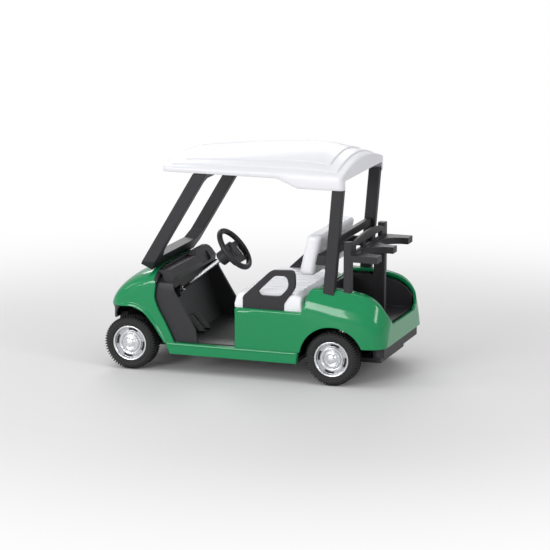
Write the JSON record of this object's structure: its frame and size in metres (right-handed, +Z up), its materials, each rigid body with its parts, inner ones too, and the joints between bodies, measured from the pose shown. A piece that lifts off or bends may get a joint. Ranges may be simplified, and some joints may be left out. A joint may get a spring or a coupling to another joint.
{
  "type": "model golf cart",
  "caption": "Small model of a golf cart with green body, white roof and seats, black trim and bright wheel rims; the wheels roll and the steering wheel turns the front pair.",
  "frame": {"origin": "on the ground under the middle of the bounding box", "axes": "+X forward, +Y to the left, +Z up"},
  "size_m": [0.15, 0.074, 0.1176],
  "materials": {
    "green_body": "gloss",
    "white_plastic": "semi-gloss",
    "black_trim": "satin",
    "tyre_rubber": "matt",
    "bright_metal": "polished",
    "steel_pins": "brushed"
  },
  "bodies": {
    "chassis": {"chassis_pan": "black_trim", "front_cowl": "green_body", "left_rocker": "green_body", "right_rocker": "green_body", "rear_body": "green_body", "front_bumper": "black_trim", "rear_bumper": "black_trim", "floor": "black_trim", "bulkhead": "black_trim", "dash": "black_trim", "brake_pedal": "black_trim", "accelerator_pedal": "black_trim", "screen_frame": "black_trim", "roof": "white_plastic", "left_rear_post": "black_trim", "right_rear_post": "black_trim", "rear_cross_bar": "black_trim", "seat_cushion": "white_plastic", "left_seat_back": "white_plastic", "right_seat_back": "white_plastic", "seat_back_rail": "black_trim", "left_hip_restraint": "black_trim", "right_hip_restraint": "black_trim", "bag_well": "black_trim", "bag_rack": "black_trim", "bag_divider": "black_trim", "front_beam": "black_trim"},
    "left_steer": {"left_knuckle": "steel_pins"},
    "right_steer": {"right_knuckle": "steel_pins"},
    "steer_rod": {"tie_rod": "steel_pins"},
    "steering": {"steering_wheel": "black_trim", "steering_shaft": "bright_metal"},
    "front_left_wheel": {"front_left_tyre": "tyre_rubber", "front_left_rim": "bright_metal"},
    "front_right_wheel": {"front_right_tyre": "tyre_rubber", "front_right_rim": "bright_metal"},
    "rear_wheels": {"rear_axle": "steel_pins", "rear_left_tyre": "tyre_rubber", "rear_left_rim": "bright_metal", "rear_right_tyre": "tyre_rubber", "rear_right_rim": "bright_metal"}
  },
  "joints": [
    {"name": "steering_turn", "type": "hinge", "parent": "chassis", "child": "steering", "pos_m": [0.011, 0.016, 0.0626], "axis": [-0.7815, 0, 0.6239], "range_deg": [-55, 55]},
    {"name": "left_kingpin", "type": "hinge", "parent": "chassis", "child": "left_steer", "pos_m": [0.061, 0.0235, 0.0137], "axis": [0, 0, 1], "range_deg": [-22.5, 22.5]},
    {"name": "right_kingpin", "type": "hinge", "parent": "chassis", "child": "right_steer", "pos_m": [0.061, -0.0235, 0.0137], "axis": [0, 0, 1], "range_deg": [-22.5, 22.5]},
    {"name": "tie_rod_slide", "type": "slide", "parent": "chassis", "child": "steer_rod", "axis": [0, -1, 0], "range_m": [-0.0028, 0.0028]},
    {"name": "front_left_spin", "type": "hinge", "parent": "left_steer", "child": "front_left_wheel", "pos_m": [0.061, 0.0318, 0.0137], "axis": [0, 1, 0], "continuous": true},
    {"name": "front_right_spin", "type": "hinge", "parent": "right_steer", "child": "front_right_wheel", "pos_m": [0.061, -0.0318, 0.0137], "axis": [0, 1, 0], "continuous": true},
    {"name": "rear_axle_spin", "type": "hinge", "parent": "chassis", "child": "rear_wheels", "pos_m": [-0.048, 0, 0.0137], "axis": [0, 1, 0], "continuous": true}
  ],
  "couplings": [
    {"joint": "left_kingpin", "follows": "steering_turn", "ratio": 0.4},
    {"joint": "right_kingpin", "follows": "steering_turn", "ratio": 0.4},
    {"joint": "tie_rod_slide", "follows": "steering_turn", "m_per_rad": 0.002716}
  ]
}
